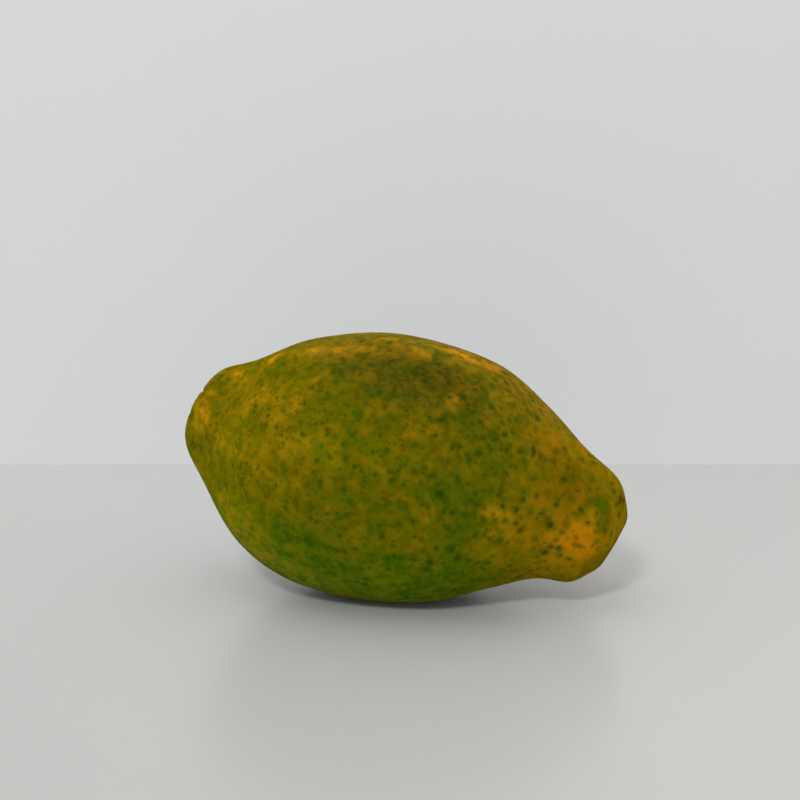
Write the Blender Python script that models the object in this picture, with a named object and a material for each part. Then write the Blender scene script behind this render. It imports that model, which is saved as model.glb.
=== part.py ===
"""A whole ripening papaya of the small pear-shaped kind, lying on its side.

The fruit is one solid. Its own axis runs from the blossom end, where the flower was, to the stem end,
where the stalk broke off. The model stands on z = 0 with +X pointing towards the stem end.
"""

import math

import bmesh
import bpy
from mathutils import Matrix, Vector, noise

# Driving dimensions, in metres.
LENGTH = 0.150  # blossom end to stem end, along the fruit's own axis
BELLY_RADIUS = 0.045  # at the widest section
SAG = 0.0115  # how far the centre line swings below, then above, the straight axis
FLAT_SPOT_DEPTH = 0.0007  # how far the resting skin is pressed flat
REST_TILT = math.radians(16.4)  # the neck dips this far below level where the fruit comes to rest

# The outline of one side, from the middle of the blossom end to the middle of the stem end.
# Each point is (share of LENGTH from the blossom end, share of BELLY_RADIUS from the centre line).
OUTLINE = (
    (0.008, 0.000),  # the dried remnant of the flower, standing in a shallow dip
    (0.009, 0.035),
    (0.016, 0.060),
    (0.011, 0.110),
    (0.007, 0.180),
    (0.030, 0.325),  # the blunt blossom end
    (0.093, 0.490),
    (0.207, 0.800),
    (0.353, 0.980),
    (0.500, 1.000),  # the belly
    (0.647, 0.915),
    (0.767, 0.715),
    (0.867, 0.520),  # the neck
    (0.947, 0.420),
    (0.984, 0.285),  # the shoulder round the stem end
    (0.999, 0.190),
    (0.995, 0.140),
    (0.986, 0.105),  # the groove round the stem's scar
    (0.989, 0.075),
    (0.988, 0.000),
)

# The five soft ribs, one for each part of the fruit's ovary. Depths are shares of the local radius.
RIB_COUNT = 5
RIB_TURN = math.radians(12.0)  # one rib faces this far above the level line on the -Y side
RIB_DEPTH_BODY = 0.008
RIB_DEPTH_BLOSSOM = 0.045
RIB_DEPTH_STEM = 0.035
RIB_REACH_BLOSSOM = 0.12  # share of LENGTH over which the deeper ribs fade out
RIB_REACH_STEM = 0.10

# Each section leans by this share of the centre line's slope, and more towards the two ends.
SECTION_LEAN = 0.4
SECTION_LEAN_ENDS = 0.3

# Slow swellings of a skin that no two fruits share.
SWELL_HEIGHT = 0.0005
SWELL_SPAN = 0.034

# The underside is fuller on the -Y side, between the belly and the blossom end.
FULL_HEIGHT = 0.0014
FULL_ALONG = -0.047  # its middle, from the middle of the fruit
FULL_AROUND = math.radians(-65)
FULL_REACH = 0.026
FULL_SPREAD = math.radians(52)

# Mesh fineness. Rings crowd towards both ends, where the small forms are.
SIDES = 72
RINGS = 50
END_FOCUS = 0.72
CURVE_STEPS = 24  # steps between two points of the outline

SKIN_COLOUR = (0.16, 0.15, 0.006, 1.0)
SKIN_ROUGHNESS = 0.48


def clear_scene():
    for old in list(bpy.data.objects):
        bpy.data.objects.remove(old, do_unlink=True)


def through(before, start, end, after, share):
    """A point between start and end on the smooth curve through all four."""
    return 0.5 * (
        2 * start
        + (end - before) * share
        + (2 * before - 5 * start + 4 * end - after) * share**2
        + (3 * start - before - 3 * end + after) * share**3
    )


def outline_curve():
    """The outline as closely spaced points (distance along the axis, radius)."""
    knots = [Vector((along * LENGTH, radius * BELLY_RADIUS)) for along, radius in OUTLINE]
    padded = [2 * knots[0] - knots[1], *knots, 2 * knots[-1] - knots[-2]]
    curve = []
    for before, start, end, after in zip(padded, padded[1:], padded[2:], padded[3:]):
        for step in range(CURVE_STEPS):
            curve.append(through(before, start, end, after, step / CURVE_STEPS))
    curve.append(knots[-1])
    return curve


def ring_stations():
    """(along, radius) of each ring from the blossom end to the stem end, closest together at the ends."""
    curve = outline_curve()
    travelled = [0.0]
    for start, end in zip(curve, curve[1:]):
        travelled.append(travelled[-1] + (end - start).length)
    stations = []
    index = 0
    for ring in range(RINGS + 1):
        share = ring / RINGS
        share -= END_FOCUS * math.sin(2 * math.pi * share) / (2 * math.pi)
        goal = share * travelled[-1]
        while index < len(curve) - 2 and travelled[index + 1] < goal:
            index += 1
        step = (goal - travelled[index]) / (travelled[index + 1] - travelled[index])
        stations.append(curve[index].lerp(curve[index + 1], step))
    return stations


def rib_depth(along_share):
    """Depth of the ribs as a share of the radius, deeper towards both ends."""
    blossom = RIB_DEPTH_BLOSSOM * math.exp(-((along_share / RIB_REACH_BLOSSOM) ** 2))
    stem = RIB_DEPTH_STEM * math.exp(-(((1 - along_share) / RIB_REACH_STEM) ** 2))
    return RIB_DEPTH_BODY + blossom + stem


def fullness(from_middle, around):
    """How far the fuller underside stands out, this far along from the middle and this angle round."""
    along_share = (from_middle - FULL_ALONG) / FULL_REACH
    turned = (around - FULL_AROUND + math.pi) % (2 * math.pi) - math.pi
    return FULL_HEIGHT * math.exp(-(along_share**4) - (turned / FULL_SPREAD) ** 2)


def skin_point(along, radius, around):
    """A point of the skin, with the fruit's axis along X and its middle at the origin."""
    along_share = along / LENGTH
    from_middle = 2 * along_share - 1
    lift = SAG * from_middle * (1 - from_middle**2)
    slope = SAG * (1 - 3 * from_middle**2) * 2 / LENGTH
    lean = (SECTION_LEAN + SECTION_LEAN_ENDS * from_middle**4) * math.atan(slope)
    ribbed = radius * (1 + rib_depth(along_share) * math.cos(RIB_COUNT * (around - RIB_TURN)))
    sideways = -ribbed * math.cos(around)
    upwards = ribbed * math.sin(around)
    point = Vector(
        (
            along - LENGTH / 2 - upwards * math.sin(lean),
            sideways,
            lift + upwards * math.cos(lean),
        )
    )
    outwards = Vector((0, sideways, upwards)) / BELLY_RADIUS
    swell = SWELL_HEIGHT * noise.noise(point / SWELL_SPAN) + fullness(along - LENGTH / 2, around)
    return point + outwards * swell


def shape_fruit(sphere):
    """Moves each vertex of a unit sphere, whose poles are on Z, to its place on the fruit."""
    stations = ring_stations()
    for vertex in sphere.verts:
        polar = math.acos(max(-1.0, min(1.0, vertex.co.z)))
        ring = round(polar / math.pi * RINGS)
        around = math.atan2(vertex.co.y, vertex.co.x)
        along, radius = stations[ring]
        vertex.co = skin_point(along, radius, around)


def lay_down(fruit):
    """Tilts the fruit as it rests, presses its flat spot and puts it on z = 0, centred on the origin."""
    bmesh.ops.rotate(
        fruit,
        verts=fruit.verts,
        cent=(0, 0, 0),
        matrix=Matrix.Rotation(REST_TILT, 3, "Y"),
    )
    table = min(vertex.co.z for vertex in fruit.verts) + FLAT_SPOT_DEPTH
    for vertex in fruit.verts:
        vertex.co.z = max(vertex.co.z, table)
    low = [min(vertex.co[axis] for vertex in fruit.verts) for axis in range(3)]
    high = [max(vertex.co[axis] for vertex in fruit.verts) for axis in range(3)]
    middle = Vector(((low[0] + high[0]) / 2, (low[1] + high[1]) / 2, low[2]))
    bmesh.ops.translate(fruit, verts=fruit.verts, vec=-middle)


def skin_material():
    material = bpy.data.materials.new("papaya_skin")
    material.use_nodes = True
    shader = material.node_tree.nodes["Principled BSDF"]
    shader.inputs["Base Color"].default_value = SKIN_COLOUR
    shader.inputs["Roughness"].default_value = SKIN_ROUGHNESS
    shader.inputs["Metallic"].default_value = 0.0
    return material


def make_papaya(collection):
    fruit = bmesh.new()
    bmesh.ops.create_uvsphere(fruit, u_segments=SIDES, v_segments=RINGS, radius=1.0)
    shape_fruit(fruit)
    lay_down(fruit)
    bmesh.ops.recalc_face_normals(fruit, faces=fruit.faces)
    mesh = bpy.data.meshes.new("papaya")
    fruit.to_mesh(mesh)
    fruit.free()
    mesh.shade_smooth()
    mesh.materials.append(skin_material())
    collection.objects.link(bpy.data.objects.new("papaya", mesh))


def main():
    clear_scene()
    collection = bpy.data.collections.new("papaya")
    bpy.context.scene.collection.children.link(collection)
    make_papaya(collection)


main()
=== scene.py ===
"""The looks of a ripening papaya: freckled, waxy skin, the stem's corky scar, the flower's remnant."""

import math

import bmesh
import bpy
from mathutils import Matrix, Vector, noise


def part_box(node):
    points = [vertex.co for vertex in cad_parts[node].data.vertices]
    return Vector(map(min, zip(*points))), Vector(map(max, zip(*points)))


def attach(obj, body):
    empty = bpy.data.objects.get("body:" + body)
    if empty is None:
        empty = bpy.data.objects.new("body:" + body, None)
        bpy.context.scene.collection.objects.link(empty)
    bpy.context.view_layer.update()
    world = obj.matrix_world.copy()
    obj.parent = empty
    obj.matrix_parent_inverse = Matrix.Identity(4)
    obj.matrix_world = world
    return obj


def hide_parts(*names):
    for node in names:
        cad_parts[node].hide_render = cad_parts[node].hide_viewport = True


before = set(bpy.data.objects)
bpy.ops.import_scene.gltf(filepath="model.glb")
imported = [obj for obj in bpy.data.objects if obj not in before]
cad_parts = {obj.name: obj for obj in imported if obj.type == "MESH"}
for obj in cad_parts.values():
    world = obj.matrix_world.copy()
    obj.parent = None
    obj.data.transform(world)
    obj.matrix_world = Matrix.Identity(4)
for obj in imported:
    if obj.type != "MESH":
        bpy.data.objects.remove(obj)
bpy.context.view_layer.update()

MM = 0.001

# ---------------------------------------------------------------------------------------------------
# Where the camera stands. It is set first, because everything else is judged from it.

CAMERA_TURN = math.radians(12)  # towards the stem end from square on to the fruit's side
CAMERA_RISE = math.radians(15)  # above level, seen from the middle of the fruit
CAMERA_DIP = math.radians(12.95)  # how far the camera itself looks down
CAMERA_DISTANCE = 608 * MM
CAMERA_LENS = 81  # millimetres
CAMERA_SENSOR = 36  # millimetres
CAMERA_CLIP = 10 * MM
SIGHT_HEIGHT = 45 * MM  # of the point above the origin that rise and distance are measured to
SIGHT_RIGHT = 0.0022  # tangent of the angle between that point and the way the camera faces

# ---------------------------------------------------------------------------------------------------
# The form of the fruit, in its own straight frame: blossom end at -X, stem end at +X.

LENGTH = 150 * MM
BELLY_RADIUS = 45 * MM
SAG = 11.5 * MM  # how far the centre line swings below, then above, the straight axis
FLAT_SPOT_DEPTH = 0.7 * MM  # how far the resting skin is pressed flat
REST_TILT = math.radians(16.4)  # the neck dips this far where the fruit comes to rest

# (share of LENGTH from the blossom end, share of BELLY_RADIUS from the centre line)
OUTLINE = (
    (0.008, 0.000),  # the remnant of the flower, in a shallow dip
    (0.009, 0.035),
    (0.016, 0.060),
    (0.011, 0.110),
    (0.007, 0.180),
    (0.030, 0.325),  # the blunt blossom end
    (0.093, 0.490),
    (0.207, 0.800),
    (0.353, 0.980),
    (0.500, 1.000),  # the belly
    (0.647, 0.915),
    (0.767, 0.715),
    (0.867, 0.520),  # the neck
    (0.947, 0.420),
    (0.984, 0.285),  # the shoulder round the stem end
    (0.999, 0.190),
    (0.995, 0.140),
    (0.986, 0.105),  # the groove round the stem's scar
    (0.989, 0.075),
    (0.988, 0.000),
)

# Five soft ribs, whose depths are shares of the local radius.
RIB_COUNT = 5
RIB_TURN = math.radians(12)  # one rib faces this far above the level line on the -Y side
RIB_DEPTH_BODY = 0.008
RIB_DEPTH_BLOSSOM = 0.045
RIB_DEPTH_STEM = 0.035
RIB_REACH_BLOSSOM = 0.12  # share of LENGTH over which the deeper ribs fade out
RIB_REACH_STEM = 0.10

# Each section leans by this share of the centre line's slope, and more towards the two ends.
SECTION_LEAN = 0.4
SECTION_LEAN_ENDS = 0.3

# Slow swellings, and a fuller underside between the belly and the blossom end.
SWELL_HEIGHT = 0.5 * MM
SWELL_SPAN = 34 * MM
FULL_HEIGHT = 1.4 * MM
FULL_ALONG = -47 * MM
FULL_AROUND = math.radians(-65)
FULL_REACH = 26 * MM
FULL_SPREAD = math.radians(52)

# Fineness of the skin, and the low relief that only a close look shows.
SKIN_SIDES = 320
SKIN_RINGS = 280
END_FOCUS = 0.72  # rings crowd towards both ends
CURVE_STEPS = 40  # steps between two points of the outline
DIMPLES = ((9 * MM, 0.10 * MM), (3.5 * MM, 0.035 * MM))  # (span, depth) of each layer
CREASE_DEPTH = 0.8 * MM
CREASE_HALF_ANGLE = math.radians(6)
CREASE_REACH = 0.050  # share of LENGTH from the blossom end
CREASE_INNER = 7.2 * MM  # nearer to the axis than this the creases shallow out
CREASE_LEAN = 0.7  # share of a crease's depth that goes inwards, and that goes along the fruit
SCAR_RADIUS = 4.7 * MM
SCAR_RIM_RADIUS = 0.75 * SCAR_RADIUS
SCAR_RIM_WIDTH = 0.14 * SCAR_RADIUS
SCAR_RIM_HEIGHT = 0.35 * MM
CORK_CRACK_SPAN = 1.6 * MM
CORK_CRACK_DEPTH = 0.30 * MM
CORK_CRACK_OCTAVES = 4
REMNANT_RADIUS = 2.4 * MM
END_CAP = 0.45 * LENGTH  # the scar and the remnant lie further than this from the middle


def place_camera():
    middle = Vector((0, 0, SIGHT_HEIGHT))
    back = Vector((math.sin(CAMERA_TURN), -math.cos(CAMERA_TURN), 0))
    side = Vector((math.cos(CAMERA_TURN), math.sin(CAMERA_TURN), 0))
    up = Vector((0, 0, 1))
    ahead = -back * math.cos(CAMERA_DIP) - up * math.sin(CAMERA_DIP)
    above = -back * math.sin(CAMERA_DIP) + up * math.cos(CAMERA_DIP)
    drop = math.tan(CAMERA_RISE - CAMERA_DIP)
    sight = ahead + side * SIGHT_RIGHT - above * drop
    data = bpy.data.cameras.new("camera")
    data.lens = CAMERA_LENS
    data.sensor_width = CAMERA_SENSOR
    data.clip_start = CAMERA_CLIP
    camera = bpy.data.objects.new("camera", data)
    bpy.context.scene.collection.objects.link(camera)
    facing = Matrix((side, above, -ahead)).transposed().to_4x4()
    camera.matrix_world = Matrix.Translation(middle - sight * CAMERA_DISTANCE) @ facing
    bpy.context.scene.camera = camera


place_camera()


def through(before, start, end, after, share):
    """A point between start and end on the smooth curve through all four."""
    return 0.5 * (
        2 * start
        + (end - before) * share
        + (2 * before - 5 * start + 4 * end - after) * share**2
        + (3 * start - before - 3 * end + after) * share**3
    )


def outline_curve():
    """The outline as closely spaced points (distance along the axis, radius)."""
    knots = [Vector((along * LENGTH, radius * BELLY_RADIUS)) for along, radius in OUTLINE]
    padded = [2 * knots[0] - knots[1], *knots, 2 * knots[-1] - knots[-2]]
    curve = []
    for before, start, end, after in zip(padded, padded[1:], padded[2:], padded[3:]):
        for step in range(CURVE_STEPS):
            curve.append(through(before, start, end, after, step / CURVE_STEPS))
    curve.append(knots[-1])
    return curve


def ring_stations():
    """(along, radius) of each ring from blossom end to stem end, closest together at the ends."""
    curve = outline_curve()
    travelled = [0.0]
    for start, end in zip(curve, curve[1:]):
        travelled.append(travelled[-1] + (end - start).length)
    stations = []
    index = 0
    for ring in range(SKIN_RINGS + 1):
        share = ring / SKIN_RINGS
        share -= END_FOCUS * math.sin(2 * math.pi * share) / (2 * math.pi)
        goal = share * travelled[-1]
        while index < len(curve) - 2 and travelled[index + 1] < goal:
            index += 1
        step = (goal - travelled[index]) / (travelled[index + 1] - travelled[index])
        stations.append(curve[index].lerp(curve[index + 1], step))
    return stations


def rib_depth(along_share):
    """Depth of the ribs as a share of the radius, deeper towards both ends."""
    blossom = RIB_DEPTH_BLOSSOM * math.exp(-((along_share / RIB_REACH_BLOSSOM) ** 2))
    stem = RIB_DEPTH_STEM * math.exp(-(((1 - along_share) / RIB_REACH_STEM) ** 2))
    return RIB_DEPTH_BODY + blossom + stem


def fullness(from_middle, around):
    """How far the fuller underside stands out."""
    along_share = (from_middle - FULL_ALONG) / FULL_REACH
    turned = (around - FULL_AROUND + math.pi) % (2 * math.pi) - math.pi
    return FULL_HEIGHT * math.exp(-(along_share**4) - (turned / FULL_SPREAD) ** 2)


def skin_point(along, radius, around):
    """A point of the skin, with the fruit's axis along X and its middle at the origin."""
    along_share = along / LENGTH
    from_middle = 2 * along_share - 1
    lift = SAG * from_middle * (1 - from_middle**2)
    slope = SAG * (1 - 3 * from_middle**2) * 2 / LENGTH
    lean = (SECTION_LEAN + SECTION_LEAN_ENDS * from_middle**4) * math.atan(slope)
    ribbed = radius * (1 + rib_depth(along_share) * math.cos(RIB_COUNT * (around - RIB_TURN)))
    sideways = -ribbed * math.cos(around)
    upwards = ribbed * math.sin(around)
    point = Vector(
        (
            along - LENGTH / 2 - upwards * math.sin(lean),
            sideways,
            lift + upwards * math.cos(lean),
        )
    )
    outwards = Vector((0, sideways, upwards)) / BELLY_RADIUS
    swell = SWELL_HEIGHT * noise.noise(point / SWELL_SPAN) + fullness(along - LENGTH / 2, around)
    return point + outwards * swell


def dimple_depth(point):
    """How far the low dimples sink the skin here. They never raise it."""
    return sum(deepest * 0.5 * (1 + noise.noise(point / span)) for span, deepest in DIMPLES)


def crease_depth(along, radius, around):
    """How far the skin is drawn in by the creases between the ribs, round the blossom end."""
    from_rib = (around - RIB_TURN) % (2 * math.pi / RIB_COUNT)
    from_valley = from_rib - math.pi / RIB_COUNT
    narrow = math.exp(-((from_valley / CREASE_HALF_ANGLE) ** 2))
    near_end = math.exp(-((along / LENGTH / CREASE_REACH) ** 2))
    off_centre = min(1.0, radius / CREASE_INNER)
    return CREASE_DEPTH * narrow * near_end * off_centre


def cork_relief(point, from_axis):
    """Height of the scar's cracked cork, with its raised rim."""
    cracked = noise.turbulence(point / CORK_CRACK_SPAN, CORK_CRACK_OCTAVES, True)
    rim = math.exp(-(((from_axis - SCAR_RIM_RADIUS) / SCAR_RIM_WIDTH) ** 2))
    return SCAR_RIM_HEIGHT * rim - CORK_CRACK_DEPTH * cracked


def shape_skin(sphere):
    """Moves each vertex of a unit sphere, whose poles are on Z, to its place on the straight fruit."""
    stations = ring_stations()
    for vertex in sphere.verts:
        polar = math.acos(max(-1.0, min(1.0, vertex.co.z)))
        ring = round(polar / math.pi * SKIN_RINGS)
        around = math.atan2(vertex.co.y, vertex.co.x)
        along, radius = stations[ring]
        point = skin_point(along, radius, around)
        outwards = Vector((0, -math.cos(around), math.sin(around)))
        if ring > SKIN_RINGS / 2 and radius < SCAR_RADIUS:
            point.x += cork_relief(point, radius)
        elif radius > SCAR_RADIUS:
            point -= outwards * dimple_depth(point)
        if ring < SKIN_RINGS / 2:
            drawn = CREASE_LEAN * crease_depth(along, radius, around)
            point += Vector((drawn, 0, 0)) - drawn * outwards
        vertex.co = point


def faces_at_ends(sphere):
    """The indices of the stem scar's faces and of the flower remnant's faces."""
    scar_faces = []
    remnant_faces = []
    for face in sphere.faces:
        middle = face.calc_center_median()
        from_axis = math.hypot(middle.y, middle.z)
        if middle.x > END_CAP and from_axis < SCAR_RADIUS:
            scar_faces.append(face.index)
        if middle.x < -END_CAP and from_axis < REMNANT_RADIUS:
            remnant_faces.append(face.index)
    return scar_faces, remnant_faces


def lay_down(mesh):
    """Keeps each vertex's place on the straight fruit, then lays the fruit down in the solid's box."""
    straight = mesh.attributes.new("straight_place", "FLOAT_VECTOR", "POINT")
    turn = Matrix.Rotation(REST_TILT, 3, "Y")
    for vertex, kept in zip(mesh.vertices, straight.data):
        kept.vector = vertex.co
        vertex.co = turn @ vertex.co
    low = [min(vertex.co[axis] for vertex in mesh.vertices) for axis in range(3)]
    high = [max(vertex.co[axis] for vertex in mesh.vertices) for axis in range(3)]
    low[2] += FLAT_SPOT_DEPTH
    box_low, box_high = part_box("papaya")
    for vertex in mesh.vertices:
        vertex.co.z = max(vertex.co.z, low[2])
        for axis in range(3):
            share = (vertex.co[axis] - low[axis]) / (high[axis] - low[axis])
            vertex.co[axis] = box_low[axis] + share * (box_high[axis] - box_low[axis])


# ---------------------------------------------------------------------------------------------------
# Node work. Any value handed to these may be a number, a vector, a colour or another node's output.

PATCH_CORE = 0.15  # share of a soft patch's reach within which it is whole
FRECKLE_RUFFLE_SPAN = 1.6  # how ragged a freckle's edge is, in freckle sizes
FRECKLE_RUFFLE_AMOUNT = 1.5
FRECKLE_FADE = (-0.05, 0.15)  # how gradually freckles go as the crowding falls
FRECKLE_STRENGTHS = (0.35, 0.65)  # the faintest freckle, and how much the strongest has more
FRECKLE_SIZES = (0.55, 0.9)  # the smallest freckle, and how much the largest has more
FRECKLE_EDGE = (1.35, 0.35)  # where a freckle begins and where it is whole, in its own sizes
HALO_EDGE = (2.8, 0.6)
SHEEN_CREST_RISE = (24 * MM, 38 * MM)  # heights between which the painted sheen grows
SHEEN_UNDER_RISE = (-20 * MM, -34 * MM)
GRAIN_COARSER = 0.6  # the grain's cloud, against its pores
GRAIN_CLOUD_SHARE = 0.6


class Bench:
    """Adds nodes to one tree."""

    def __init__(self, tree):
        self.tree = tree

    def put(self, socket, value):
        """Sets a socket, or links it where the value is another node's output."""
        if isinstance(value, bpy.types.NodeSocket):
            self.tree.links.new(value, socket)
        elif socket.type == "RGBA":
            socket.default_value = (*value, 1.0)
        else:
            socket.default_value = value

    def add(self, kind, settings=None, **inputs):
        node = self.tree.nodes.new(kind)
        for name, value in (settings or {}).items():
            setattr(node, name, value)
        for name, value in inputs.items():
            self.put(node.inputs[name.replace("_", " ")], value)
        return node

    def calc(self, operation, *values, clamp=False):
        node = self.add("ShaderNodeMath", {"operation": operation, "use_clamp": clamp})
        for socket, value in zip(node.inputs, values):
            self.put(socket, value)
        return node.outputs[0]

    def vector(self, operation, *values):
        """The result of vector arithmetic: a number for LENGTH and DOT_PRODUCT, otherwise a vector."""
        node = self.add("ShaderNodeVectorMath", {"operation": operation})
        for socket, value in zip(node.inputs, values):
            self.put(socket, value)
        return node.outputs["Value" if operation in ("LENGTH", "DOT_PRODUCT") else "Vector"]

    def scale(self, vector, factor):
        node = self.add("ShaderNodeVectorMath", {"operation": "SCALE"})
        self.put(node.inputs["Vector"], vector)
        self.put(node.inputs["Scale"], factor)
        return node.outputs["Vector"]

    def split(self, vector):
        """The X, Y and Z of a vector, by name."""
        return self.add("ShaderNodeSeparateXYZ", Vector=vector).outputs

    def blend(self, factor, first, second):
        """The first colour where the factor is 0, the second where it is 1."""
        node = self.add("ShaderNodeMix", {"data_type": "RGBA"})
        self.put(node.inputs[0], factor)
        self.put(node.inputs[6], first)
        self.put(node.inputs[7], second)
        return node.outputs[2]

    def rise(self, value, start, end, low=0.0, high=1.0):
        """Goes smoothly from low to high as the value passes from start to end."""
        node = self.add("ShaderNodeMapRange", {"interpolation_type": "SMOOTHSTEP"})
        for name, amount in (
            ("Value", value),
            ("From Min", start),
            ("From Max", end),
            ("To Min", low),
            ("To Max", high),
        ):
            self.put(node.inputs[name], amount)
        return node.outputs[0]

    def cloud(self, place, scale, detail, roughness):
        """Cloudy noise, as outputs by name: Fac for a value about 0.5, Color for three of them."""
        return self.add(
            "ShaderNodeTexNoise", Vector=place, Scale=scale, Detail=detail, Roughness=roughness
        ).outputs

    def ruffle(self, place, span, amount):
        """The place moved a little, so that edges laid out on it lose their straightness."""
        scale = self.calc("DIVIDE", 1.0, span)
        cloud = self.cloud(place, scale, detail=3.0, roughness=0.55)["Color"]
        centred = self.vector("SUBTRACT", cloud, (0.5, 0.5, 0.5))
        return self.vector("ADD", place, self.scale(centred, amount))

    def shades(self, value, stops):
        """A colour ramp. stops is ((position, colour), ...)."""
        node = self.add("ShaderNodeValToRGB")
        self.put(node.inputs[0], value)
        ramp = node.color_ramp
        while len(ramp.elements) < len(stops):
            ramp.elements.new(0.5)
        for element, (position, colour) in zip(ramp.elements, stops):
            element.position = position
            element.color = (*colour, 1.0)
        return node.outputs[0]

    def group(self, tree, **inputs):
        """The outputs, by name, of a node group with these inputs."""
        return self.add("ShaderNodeGroup", {"node_tree": tree}, **inputs).outputs


def new_group(name, vectors, numbers, outputs):
    """An empty node group. numbers gives each number that it takes with its usual value."""
    tree = bpy.data.node_groups.new(name, "ShaderNodeTree")
    for label in vectors:
        tree.interface.new_socket(label, in_out="INPUT", socket_type="NodeSocketVector")
    for label, usual in numbers.items():
        socket = tree.interface.new_socket(label, in_out="INPUT", socket_type="NodeSocketFloat")
        socket.default_value = usual
    for label in outputs:
        tree.interface.new_socket(label, in_out="OUTPUT", socket_type="NodeSocketFloat")
    bench = Bench(tree)
    return tree, bench, bench.add("NodeGroupInput").outputs, bench.add("NodeGroupOutput").inputs


def make_soft_patch():
    """A soft-edged patch round a centre, stretched along the fruit."""
    tree, bench, given, out = new_group(
        "soft patch",
        vectors=("Place", "Centre"),
        numbers={"Reach": 20 * MM, "Stretch": 1.0},
        outputs=("Mask",),
    )
    parts = bench.split(bench.vector("SUBTRACT", given["Place"], given["Centre"]))
    shrunk = bench.calc("DIVIDE", parts["X"], given["Stretch"])
    squeezed = bench.add("ShaderNodeCombineXYZ", X=shrunk, Y=parts["Y"], Z=parts["Z"]).outputs[0]
    share = bench.calc("DIVIDE", bench.vector("LENGTH", squeezed), given["Reach"])
    bench.put(out["Mask"], bench.rise(share, 1.0, PATCH_CORE))
    return tree


def make_freckles():
    """Scattered freckles with ragged, soft edges. Crowding is the share of the places that hold one."""
    tree, bench, given, out = new_group(
        "freckles",
        vectors=("Place",),
        numbers={"Spacing": 3 * MM, "Size": 0.6 * MM, "Crowding": 0.7},
        outputs=("Mask", "Halo"),
    )
    ragged = bench.ruffle(
        given["Place"],
        span=bench.calc("MULTIPLY", given["Size"], FRECKLE_RUFFLE_SPAN),
        amount=bench.calc("MULTIPLY", given["Size"], FRECKLE_RUFFLE_AMOUNT),
    )
    scale = bench.calc("DIVIDE", 1.0, given["Spacing"])
    cells = bench.add("ShaderNodeTexVoronoi", Vector=ragged, Scale=scale, Randomness=1.0).outputs
    distance = bench.calc("MULTIPLY", cells["Distance"], given["Spacing"])
    draw = bench.add("ShaderNodeSeparateColor", Color=cells["Color"]).outputs
    used = bench.rise(bench.calc("SUBTRACT", given["Crowding"], draw["Red"]), *FRECKLE_FADE)
    faintest, added = FRECKLE_STRENGTHS
    used = bench.calc("MULTIPLY", used, bench.calc("MULTIPLY_ADD", draw["Blue"], added, faintest))
    smallest, added = FRECKLE_SIZES
    size = bench.calc("MULTIPLY_ADD", draw["Green"], added, smallest)
    size = bench.calc("MULTIPLY", given["Size"], size)
    for label, edge in (("Mask", FRECKLE_EDGE), ("Halo", HALO_EDGE)):
        outer, inner = (bench.calc("MULTIPLY", size, share) for share in edge)
        bench.put(out[label], bench.calc("MULTIPLY", bench.rise(distance, outer, inner), used))
    return tree


def make_blotches():
    """Cloudy blotches with edges that are soft or firm."""
    tree, bench, given, out = new_group(
        "blotches",
        vectors=("Place",),
        numbers={"Span": 10 * MM, "Cover": 0.5, "Softness": 0.1, "Detail": 1.0},
        outputs=("Mask",),
    )
    scale = bench.calc("DIVIDE", 1.0, given["Span"])
    cloud = bench.cloud(given["Place"], scale, given["Detail"], roughness=0.5)["Fac"]
    edge = bench.calc("SUBTRACT", 1.0, given["Cover"])
    start = bench.calc("SUBTRACT", edge, given["Softness"])
    end = bench.calc("ADD", edge, given["Softness"])
    bench.put(out["Mask"], bench.rise(cloud, start, end))
    return tree


def make_painted_sheen():
    """Painted sheen: the coat's shine laid only along the top of the fruit, and a little underneath,
    where the light catches the skin.
    """
    tree, bench, given, out = new_group(
        "painted sheen",
        vectors=("Place",),
        numbers={"Crest": 0.1, "Under": 0.05},
        outputs=("Mask",),
    )
    up = bench.split(given["Place"])["Z"]
    crest = bench.calc("MULTIPLY", bench.rise(up, *SHEEN_CREST_RISE), given["Crest"])
    under = bench.calc("MULTIPLY", bench.rise(up, *SHEEN_UNDER_RISE), given["Under"])
    bench.put(out["Mask"], bench.calc("ADD", crest, under))
    return tree


def make_fine_grain():
    """Fine pores and grain, as a height between 0 and 1."""
    tree, bench, given, out = new_group(
        "fine grain", vectors=("Place",), numbers={"Span": 0.5 * MM}, outputs=("Height",)
    )
    scale = bench.calc("DIVIDE", 1.0, given["Span"])
    pores = bench.add("ShaderNodeTexVoronoi", Vector=given["Place"], Scale=scale).outputs["Distance"]
    coarser = bench.calc("MULTIPLY", scale, GRAIN_COARSER)
    cloud = bench.cloud(given["Place"], coarser, detail=4.0, roughness=0.6)["Fac"]
    pores = bench.calc("MULTIPLY", pores, 1 - GRAIN_CLOUD_SHARE)
    bench.put(out["Height"], bench.calc("MULTIPLY_ADD", cloud, GRAIN_CLOUD_SHARE, pores))
    return tree


soft_patch = make_soft_patch()
freckles = make_freckles()
blotches = make_blotches()
painted_sheen = make_painted_sheen()
fine_grain = make_fine_grain()

# ---------------------------------------------------------------------------------------------------
# The skin's colours, from unripe to ripe.

DEEP_GREEN = (0.050, 0.098, 0.001)
LEAF_GREEN = (0.088, 0.113, 0.001)
OLIVE = (0.126, 0.113, 0.001)
YELLOW_OLIVE = (0.185, 0.128, 0.001)
YELLOW = (0.265, 0.150, 0.002)
ORANGE = (0.410, 0.178, 0.002)
RIPENING = (
    (0.05, DEEP_GREEN),
    (0.22, LEAF_GREEN),
    (0.42, OLIVE),
    (0.62, YELLOW_OLIVE),
    (0.80, YELLOW),
    (1.00, ORANGE),
)
CORK = (0.300, 0.200, 0.090)
CORK_DARK = (0.060, 0.032, 0.012)
CORK_RIM_RISE = (3.4 * MM, 4.3 * MM)  # distances from the axis over which the cork darkens
CORK_RIM_STRENGTH = 0.8
CORK_CRACK_STRENGTH = 0.55
REMNANT_DARK = (0.020, 0.012, 0.006)

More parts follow.
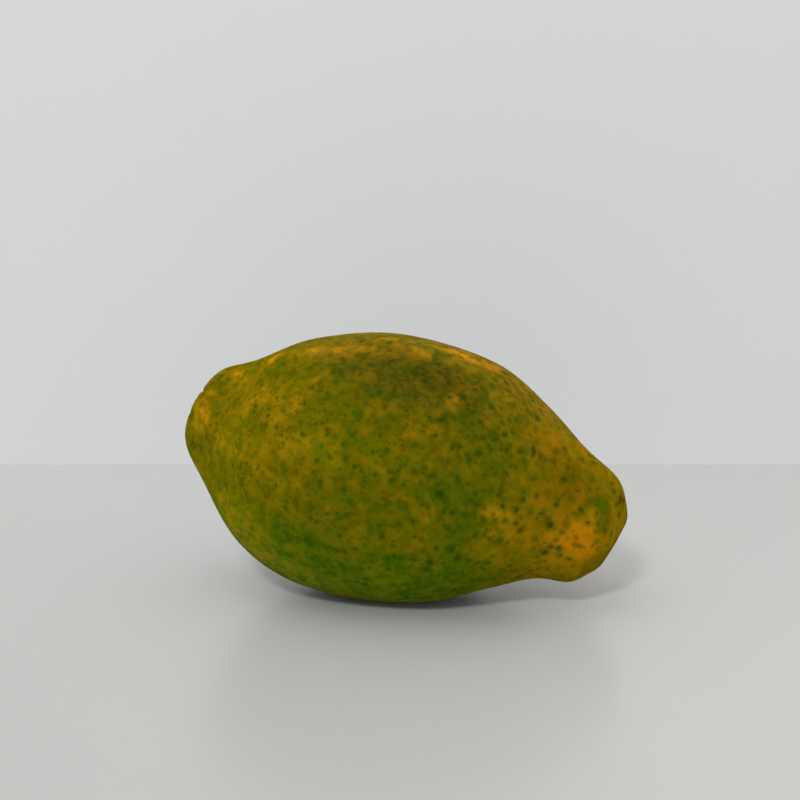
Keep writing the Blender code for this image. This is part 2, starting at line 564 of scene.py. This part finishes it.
# Freckles. (spacing, size) of each set, and the strength of its colour.
LARGE_FRECKLES = (2.7 * MM, 0.85 * MM)
SMALL_FRECKLES = (1.7 * MM, 0.50 * MM)
NECK_SPOTS = (3.4 * MM, 1.0 * MM)
RUSTY_FRECKLES = (2.3 * MM, 0.6 * MM)
LARGE_STRENGTH = 0.70
SMALL_STRENGTH = (0.50, 0.80)  # over most of the skin, and at the blossom end
SPOT_STRENGTH = 0.85
RUSTY_STRENGTH = 0.85
FRECKLE_GREEN = (0.034, 0.050, 0.001)
FRECKLE_BROWN = (0.085, 0.050, 0.002)
FRECKLE_BROWNING = (0.35, 0.75)  # ripeness at which freckles begin to brown, and are brown
BLOSSOM_BROWNING = 0.5  # how much browner they are at the blossom end
RUST = (0.100, 0.036, 0.002)
RUST_CENTRE = (-47 * MM, 30)  # distance from the middle towards the stem, degrees round
RUST_REACH = 20 * MM
CROWD_SPAN = 11 * MM  # freckles come in crowds of about this size
CROWDING = (0.3, 0.7, 0.35, 1.0)  # the crowds' cloud from, to; crowding from, to
NECK_CROWDING = 0.55
BLOSSOM_CROWDING = 0.3  # for the large freckles alone
HALO_GREEN = -0.14  # ripeness added round a freckle
SMALL_HALO = 0.6
SPOT_HALO = 1.5

# The neck, the blossom end and the spotted part, along the fruit.
NECK_RISE = (28 * MM, 50 * MM)
BLOSSOM_RISE = (-15 * MM, -42 * MM)
SPOTTED_RISE = (-2 * MM, 38 * MM)
SPOTTED_SLANT = 0.35  # the spotted part reaches further back higher up

# A scuff beside the stem's scar.
SCUFF = (0.060, 0.030, 0.004)
SCUFF_CENTRE = (70 * MM, 70)
SCUFF_REACH = 4 * MM
SCUFF_STRETCH = 0.25
SCUFF_STRENGTH = 0.9

SHEEN_CREST = 0.06  # how strongly the painted sheen along the top shines
SHEEN_UNDER = 0.05

# Ripeness from 0 for deep green to 1 for orange, and the share of the light that a darker skin
# swallows, before any trend.
START_RIPENESS = 0.45
START_DARKNESS = -0.12

# Trends: (axis, start, end, ripeness added, light swallowed).
TRENDS = (
    ("X", 30 * MM, 54 * MM, 0.23, 0.04),  # the neck
    ("X", -36 * MM, -62 * MM, 0.09, 0.00),  # the blossom end
    ("Z", 27 * MM, 42 * MM, 0.16, 0.00),  # the crest
    ("Z", -4 * MM, -32 * MM, -0.25, -0.12),  # underneath: greener, and lighter there as painted light thrown up from the table
)

# Clouds of ripeness: (span, how much they add or take away).
CLOUDS = ((30 * MM, 0.25), (7 * MM, 0.60), (2.4 * MM, 0.12))

# How far the edges of patches wander: (span, amount), the finer first.
FINE_WANDER = (4 * MM, 5 * MM)
BROAD_WANDER = (14 * MM, 12 * MM)
SCUFF_WANDER = (2 * MM, 2 * MM)

# Mottling of the whole skin: (span, cover, softness of the edges, ripeness added, light swallowed).
MOTTLES = (
    (2.6 * MM, 0.42, 0.12, -0.08, 0.24),
    (4.5 * MM, 0.45, 0.12, -0.14, 0.10),
    (8.0 * MM, 0.38, 0.12, 0.14, -0.06),
)
NECK_MOTTLING = 0.45  # the mottles' share at the neck
RIPENESS_LIFT = 0.05  # makes up for what mottles and halos take away

# Where the fruit has ripened first or stayed green: (millimetres from the middle towards the stem,
# degrees round from level on the -Y side, reach in millimetres, stretch along the fruit, ripeness
# added, light swallowed). The patches that lighten the lower front rim towards the blossom end are
# partly painted light, standing in for light thrown up from the table.
PATCHES = (
    (64, 0, 12, 1.1, 0.42, -0.05),
    (-60, 58, 8, 1.4, 0.02, -0.26),
    (15, 86, 8, 2.2, 0.38, -0.10),
    (34, 84, 14, 2.2, 0.12, 0.18),
    (43, 60, 12, 1.4, 0.24, 0.08),
    (30, 54, 8, 1.3, 0.14, 0.04),
    (-68, 4, 8, 1.1, 0.20, -0.30),
    (-50, 37, 10, 1.4, 0.20, -0.20),
    (-54, 8, 14, 1.3, -0.02, -0.27),
    (-39, 40, 10, 1.5, 0.16, -0.26),
    (-38, 18, 14, 1.4, 0.16, -0.16),
    (-22, 17, 11, 1.3, 0.12, -0.28),
    # Lighter low on the front: partly ripening, partly painted light thrown up from the table.
    (-44, -35, 16, 1.8, 0.22, -0.22),
    (-34, -2, 7, 1.4, 0.16, -0.16),
    # Lighter low on the front: partly ripening, partly painted light thrown up from the table.
    (-24, -50, 11, 2.4, 0.10, -0.20),
    (-21, 27, 17, 1.3, -0.06, -0.12),
    (-4, 60, 19, 2.0, -0.06, 0.33),
    (12, 62, 12, 1.6, 0.02, 0.22),
    (15, 52, 6, 1.2, 0.40, -0.30),
    (10, 36, 8, 1.3, 0.15, -0.06),
    (2, 18, 10, 1.5, 0.06, -0.18),
    (22, 45, 10, 1.4, -0.12, 0.18),
    (32, 17, 11, 1.4, -0.20, 0.06),
    (16, 10, 11, 1.6, -0.16, 0.08),
    (-3, 0, 8, 1.4, -0.12, 0.06),
    (-7, -32, 18, 2.2, -0.08, 0.06),
    (29, -8, 9, 1.2, -0.22, 0.08),
    (32, -36, 15, 1.6, -0.14, 0.02),
    (38, 0, 8, 1.2, 0.10, -0.24),
    (37, -24, 7, 1.3, 0.12, -0.18),
    (48, -6, 11, 1.4, 0.02, 0.00),
    (54, 24, 12, 1.3, -0.02, 0.18),
    (52, 52, 12, 1.5, 0.00, 0.22),
    (66, 42, 7, 1.0, -0.36, 0.12),
    (59, 38, 7, 1.2, 0.02, 0.14),
    (69, 24, 6, 1.0, -0.20, 0.10),
)

# The ripest stripe, along the top towards the blossom end: (millimetres, degrees, reach, stretch).
STRIPE = (
    (-66, 68, 5, 2.0),
    (-53, 74, 5, 2.6),
    (-41, 72, 5, 2.6),
    (-29, 70, 6, 2.6),
    (-17, 71, 5, 2.6),
    (-5, 75, 5, 2.4),
)
STRIPE_RIPENESS = 0.30
STRIPE_DARKNESS = -0.12


def on_skin(along, around):
    """The point of the skin at this distance from the middle and this angle round, in degrees."""
    radius = min(outline_curve(), key=lambda point: abs(point.x - LENGTH / 2 - along)).y
    return skin_point(along + LENGTH / 2, radius, math.radians(around))


def skin_fields(bench, place):
    """How ripe the skin is and how dark it is drawn, before freckles and mottles. Low on the fruit the
    darkness holds painted light, thrown up from the table.
    """
    ruffled = bench.ruffle(place, *FINE_WANDER)
    wandering = bench.ruffle(ruffled, *BROAD_WANDER)
    parts = bench.split(wandering)
    ripeness, darkness_and_painted_light = START_RIPENESS, START_DARKNESS
    layers = []
    for axis, start, end, ripened, darkened in TRENDS:
        layers.append((bench.rise(parts[axis], start, end), ripened, darkened))
    patches = [(wandering, *row) for row in PATCHES]
    patches += [(ruffled, *row, STRIPE_RIPENESS, STRIPE_DARKNESS) for row in STRIPE]
    for laid_on, along, around, reach, stretch, ripened, darkened in patches:
        patch = bench.group(
            soft_patch,
            Place=laid_on,
            Centre=on_skin(along * MM, around),
            Reach=reach * MM,
            Stretch=stretch,
        )
        layers.append((patch["Mask"], ripened, darkened))
    for mask, ripened, darkened in layers:
        ripeness = bench.calc("MULTIPLY_ADD", mask, ripened, ripeness)
        darkness_and_painted_light = bench.calc("MULTIPLY_ADD", mask, darkened, darkness_and_painted_light)
    for span, added in CLOUDS:
        cloud = bench.cloud(place, 1 / span, detail=3.0, roughness=0.6)["Fac"]
        ripeness = bench.calc("MULTIPLY_ADD", bench.calc("SUBTRACT", cloud, 0.5), added, ripeness)
    return ripeness, darkness_and_painted_light


def new_material(name):
    """A material with its bench and its shader."""
    material = bpy.data.materials.new(name)
    material.use_nodes = True
    tree = material.node_tree
    return material, Bench(tree), tree.nodes["Principled BSDF"]


def settle(shader, **numbers):
    """Sets numbers that are the same all over the surface."""
    for name, number in numbers.items():
        shader.inputs[name.replace("_", " ")].default_value = number


def straight_place(bench):
    """Each point's place on the fruit before it was laid down, with the fruit's own axis along X."""
    return bench.add("ShaderNodeAttribute", {"attribute_name": "straight_place"}).outputs["Vector"]


def freckle_set(bench, place, sizes, crowding):
    spacing, size = sizes
    return bench.group(freckles, Place=place, Spacing=spacing, Size=size, Crowding=crowding)


def roughen(bench, shader, place, span, strength, depth):
    """Gives a surface its fine grain."""
    grain = bench.group(fine_grain, Place=place, Span=span)["Height"]
    bump = bench.add("ShaderNodeBump", Strength=strength, Distance=depth, Height=grain)
    bench.put(shader.inputs["Normal"], bump.outputs[0])


def skin_material():
    material, bench, shader = new_material("papaya_skin")
    place = straight_place(bench)
    parts = bench.split(place)
    at_neck = bench.rise(parts["X"], *NECK_RISE)
    at_blossom = bench.rise(parts["X"], *BLOSSOM_RISE)
    slanted = bench.calc("MULTIPLY_ADD", parts["Z"], SPOTTED_SLANT, parts["X"])
    spotted = bench.rise(slanted, *SPOTTED_RISE)

    crowds = bench.cloud(place, 1 / CROWD_SPAN, detail=2.0, roughness=0.5)["Fac"]
    fewer_at_neck = bench.rise(at_neck, 0.0, 1.0, 1.0, NECK_CROWDING)
    fewer_at_blossom = bench.rise(at_blossom, 0.0, 1.0, 1.0, BLOSSOM_CROWDING)
    crowding = bench.calc("MULTIPLY", bench.rise(crowds, *CROWDING), fewer_at_neck)
    large_crowding = bench.calc("MULTIPLY", crowding, fewer_at_blossom)
    rusty_crowding = bench.group(
        soft_patch, Place=place, Centre=on_skin(*RUST_CENTRE), Reach=RUST_REACH
    )["Mask"]
    large = freckle_set(bench, place, LARGE_FRECKLES, large_crowding)
    small = freckle_set(bench, place, SMALL_FRECKLES, crowding)
    spots = freckle_set(bench, place, NECK_SPOTS, spotted)
    rusty = freckle_set(bench, place, RUSTY_FRECKLES, rusty_crowding)
    scuff = bench.group(
        soft_patch,
        Place=bench.ruffle(place, *SCUFF_WANDER),
        Centre=on_skin(*SCUFF_CENTRE),
        Reach=SCUFF_REACH,
        Stretch=SCUFF_STRETCH,
    )["Mask"]

    ripeness, darkness_and_painted_light = skin_fields(bench, place)
    halo = large["Halo"]
    for freckle_halo, strength in ((small["Halo"], SMALL_HALO), (spots["Halo"], SPOT_HALO)):
        halo = bench.calc("MAXIMUM", halo, bench.calc("MULTIPLY", freckle_halo, strength))
    ripeness = bench.calc("ADD", ripeness, RIPENESS_LIFT)
    ripeness = bench.calc("MULTIPLY_ADD", halo, HALO_GREEN, ripeness)
    plainer = bench.rise(at_neck, 0.0, 1.0, 1.0, NECK_MOTTLING)
    for span, cover, softness, ripened, darkened in MOTTLES:
        mottle = bench.group(blotches, Place=place, Span=span, Cover=cover, Softness=softness)
        mottle = bench.calc("MULTIPLY", mottle["Mask"], plainer)
        ripeness = bench.calc("MULTIPLY_ADD", mottle, ripened, ripeness)
        darkness_and_painted_light = bench.calc("MULTIPLY_ADD", mottle, darkened, darkness_and_painted_light)

    browner = bench.rise(ripeness, *FRECKLE_BROWNING)
    browner = bench.calc("MULTIPLY_ADD", at_blossom, BLOSSOM_BROWNING, browner, clamp=True)
    freckle = bench.blend(browner, FRECKLE_GREEN, FRECKLE_BROWN)
    # The darkness holds painted light low on the fruit, thrown up from the table, besides the skin's
    # own darker patches.
    colour = bench.scale(bench.shades(ripeness, RIPENING), bench.calc("SUBTRACT", 1.0, darkness_and_painted_light))
    small_strength = bench.rise(at_blossom, 0.0, 1.0, *SMALL_STRENGTH)
    for mask, strength, tint in (
        (large["Mask"], LARGE_STRENGTH, freckle),
        (small["Mask"], small_strength, freckle),
        (spots["Mask"], SPOT_STRENGTH, FRECKLE_GREEN),
        (rusty["Mask"], RUSTY_STRENGTH, RUST),
        (scuff, SCUFF_STRENGTH, SCUFF),
    ):
        colour = bench.blend(bench.calc("MULTIPLY", mask, strength), colour, tint)
    bench.put(shader.inputs["Base Color"], colour)
    # Painted sheen: the coat shines only where this mask lays it, along the top and a little
    # underneath.
    sheen_mask = bench.group(painted_sheen, Place=place, Crest=SHEEN_CREST, Under=SHEEN_UNDER)["Mask"]
    bench.put(shader.inputs["Coat Weight"], sheen_mask)
    settle(shader, Roughness=0.45, Diffuse_Roughness=1.0, Specular_IOR_Level=0.0, Coat_Roughness=0.30)
    roughen(bench, shader, place, span=0.5 * MM, strength=0.25, depth=0.05 * MM)
    return material


def cork_material():
    """Pale, cracked cork with a dark line where the skin begins."""
    material, bench, shader = new_material("stem_scar_cork")
    place = straight_place(bench)
    cracks = bench.group(
        blotches, Place=place, Span=1.3 * MM, Cover=0.42, Softness=0.10, Detail=3.0
    )["Mask"]
    from_axis = bench.vector("LENGTH", bench.vector("MULTIPLY", place, (0.0, 1.0, 1.0)))
    rim = bench.rise(from_axis, *CORK_RIM_RISE)
    cracks = bench.calc("MULTIPLY", cracks, CORK_CRACK_STRENGTH)
    dark = bench.calc("MAXIMUM", cracks, bench.calc("MULTIPLY", rim, CORK_RIM_STRENGTH))
    bench.put(shader.inputs["Base Color"], bench.blend(dark, CORK, CORK_DARK))
    settle(shader, Roughness=0.85, Specular_IOR_Level=0.15)
    roughen(bench, shader, place, span=0.3 * MM, strength=0.6, depth=0.1 * MM)
    return material


def remnant_material():
    """Nearly black, dried flower."""
    material, bench, shader = new_material("dried_flower_remnant")
    place = straight_place(bench)
    cracks = bench.group(blotches, Place=place, Span=0.6 * MM, Cover=0.5, Softness=0.15)["Mask"]
    bench.put(shader.inputs["Base Color"], bench.blend(cracks, CORK_DARK, REMNANT_DARK))
    settle(shader, Roughness=0.9, Specular_IOR_Level=0.15)
    roughen(bench, shader, place, span=0.25 * MM, strength=0.7, depth=0.1 * MM)
    return material


def make_fruit():
    sphere = bmesh.new()
    bmesh.ops.create_uvsphere(sphere, u_segments=SKIN_SIDES, v_segments=SKIN_RINGS, radius=1.0)
    shape_skin(sphere)
    if sphere.calc_volume(signed=True) < 0:  # the faces look inwards, so they are turned round
        bmesh.ops.reverse_faces(sphere, faces=sphere.faces)
    scar_faces, remnant_faces = faces_at_ends(sphere)
    mesh = bpy.data.meshes.new("papaya_fruit")
    sphere.to_mesh(mesh)
    sphere.free()
    mesh.shade_smooth()
    finishes = ((skin_material, ()), (cork_material, scar_faces), (remnant_material, remnant_faces))
    for slot, (make_material, faces) in enumerate(finishes):
        mesh.materials.append(make_material())
        for index in faces:
            mesh.polygons[index].material_index = slot
    lay_down(mesh)
    fruit = bpy.data.objects.new("papaya_fruit", mesh)
    bpy.context.scene.collection.objects.link(fruit)
    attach(fruit, "root")
    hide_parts("papaya")


make_fruit()

# ---------------------------------------------------------------------------------------------------
# The table, the wall behind it and the light.

TABLE_COLOUR = (0.615, 0.612, 0.585)
TABLE_PAINTED_SHADE = 0.80  # painted shade: what is left of the colour at the near left
TABLE_PAINTED_SHADE_TURN = math.radians(35)
TABLE_PAINTED_SHADE_RISE = (-0.05, 0.30)  # metres from the fruit between which the painted shade sets in
STAGE_REACH = 3.0
WALL_COLOUR = (0.695, 0.693, 0.702)
WALL_BEHIND = 168 * MM  # beyond the fruit's middle, along the camera's line
WALL_HEIGHT = 2.0

# The room's even light: its strength, and how much it gains overhead, in front and to the right.
ROOM_COLOUR = (1.0, 0.970, 0.965)
ROOM_LEVEL = 0.64
ROOM_OVERHEAD = -0.05
ROOM_FORWARDS = 0.12
ROOM_SIDEWAYS = 0.09
LIGHT_AIM_HEIGHT = 40 * MM


def table_material():
    """Pale and slightly glossy, with painted shade: a little darker towards the near left, away from
    the wall.
    """
    material, bench, shader = new_material("pale_table")
    place = bench.add("ShaderNodeTexCoord").outputs["Object"]
    towards = Vector((-math.sin(TABLE_PAINTED_SHADE_TURN), -math.cos(TABLE_PAINTED_SHADE_TURN), 0))
    # Painted shade: the table's colour darkens towards the near left.
    near = bench.rise(bench.vector("DOT_PRODUCT", place, towards), *TABLE_PAINTED_SHADE_RISE)
    shaded_colour = tuple(channel * TABLE_PAINTED_SHADE for channel in TABLE_COLOUR)
    bench.put(shader.inputs["Base Color"], bench.blend(near, TABLE_COLOUR, shaded_colour))
    settle(shader, Roughness=0.30, Specular_IOR_Level=1.0)
    return material


def wall_material():
    """Plain on its front; from behind it can be seen through, so that it hides nothing."""
    material, bench, shader = new_material("pale_wall")
    bench.put(shader.inputs["Base Color"], WALL_COLOUR)
    settle(shader, Roughness=0.9)
    clear = bench.add("ShaderNodeBsdfTransparent")
    back = bench.add("ShaderNodeNewGeometry").outputs["Backfacing"]
    either = bench.add("ShaderNodeMixShader", Fac=back)
    bench.tree.links.new(shader.outputs[0], either.inputs[1])
    bench.tree.links.new(clear.outputs[0], either.inputs[2])
    bench.tree.links.new(either.outputs[0], bench.tree.nodes["Material Output"].inputs[0])
    return material


def make_sheet(name, corners, material):
    sheet = bmesh.new()
    sheet.faces.new([sheet.verts.new(corner) for corner in corners])
    mesh = bpy.data.meshes.new(name)
    sheet.to_mesh(mesh)
    sheet.free()
    mesh.materials.append(material)
    made = bpy.data.objects.new(name, mesh)
    bpy.context.scene.collection.objects.link(made)
    return made


def make_stage():
    left, right = -STAGE_REACH, STAGE_REACH
    on_floor = ((left, left, 0), (right, left, 0), (right, right, 0), (left, right, 0))
    make_sheet("table", on_floor, table_material())
    behind = WALL_BEHIND
    upright = (
        (left, behind, 0),
        (right, behind, 0),
        (right, behind, WALL_HEIGHT),
        (left, behind, WALL_HEIGHT),
    )
    make_sheet("wall", upright, wall_material()).rotation_euler.z = CAMERA_TURN


def area_light(name, turn, rise, distance, size, power, colour):
    """A square lamp aimed at the fruit. turn, to the right of the camera, and rise are in degrees."""
    data = bpy.data.lights.new(name, "AREA")
    data.size = size
    data.energy = power
    data.color = colour
    light = bpy.data.objects.new(name, data)
    bpy.context.scene.collection.objects.link(light)
    turn, rise = math.radians(turn) + CAMERA_TURN, math.radians(rise)
    level = Vector((math.sin(turn), -math.cos(turn), 0))
    back = level * math.cos(rise) + Vector((0, 0, math.sin(rise)))
    light.location = back * distance + Vector((0, 0, LIGHT_AIM_HEIGHT))
    light.rotation_mode = "QUATERNION"
    light.rotation_quaternion = back.to_track_quat("Z", "Y")


def soft_room():
    """Even light from all round, a little brighter in front and to the right and dimmer overhead."""
    world = bpy.data.worlds.new("soft_room")
    world.use_nodes = True
    tree = world.node_tree
    bench = Bench(tree)
    towards = bench.add("ShaderNodeTexCoord").outputs["Generated"]
    right = (math.cos(CAMERA_TURN), math.sin(CAMERA_TURN), 0)
    front = (math.sin(CAMERA_TURN), -math.cos(CAMERA_TURN), 0)
    sideways = bench.vector("DOT_PRODUCT", towards, right)
    forwards = bench.vector("DOT_PRODUCT", towards, front)
    overhead = bench.calc("MAXIMUM", bench.vector("DOT_PRODUCT", towards, (0, 0, 1)), 0.0)
    strength = bench.calc("MULTIPLY_ADD", sideways, ROOM_SIDEWAYS, ROOM_LEVEL)
    strength = bench.calc("MULTIPLY_ADD", forwards, ROOM_FORWARDS, strength)
    strength = bench.calc("MULTIPLY_ADD", overhead, ROOM_OVERHEAD, strength)
    background = tree.nodes["Background"]
    bench.put(background.inputs["Color"], ROOM_COLOUR)
    bench.put(background.inputs["Strength"], strength)
    bpy.context.scene.world = world


def make_light():
    soft_room()
    area_light(
        "window", turn=-15, rise=38, distance=2.6, size=0.34, power=27.0, colour=(0.9, 0.97, 1.0)
    )
    area_light(
        "overhead", turn=-50, rise=70, distance=0.85, size=0.55, power=1.0, colour=(1.0, 0.99, 0.97)
    )
    bpy.context.scene.view_settings.view_transform = "Standard"


make_stage()
make_light()
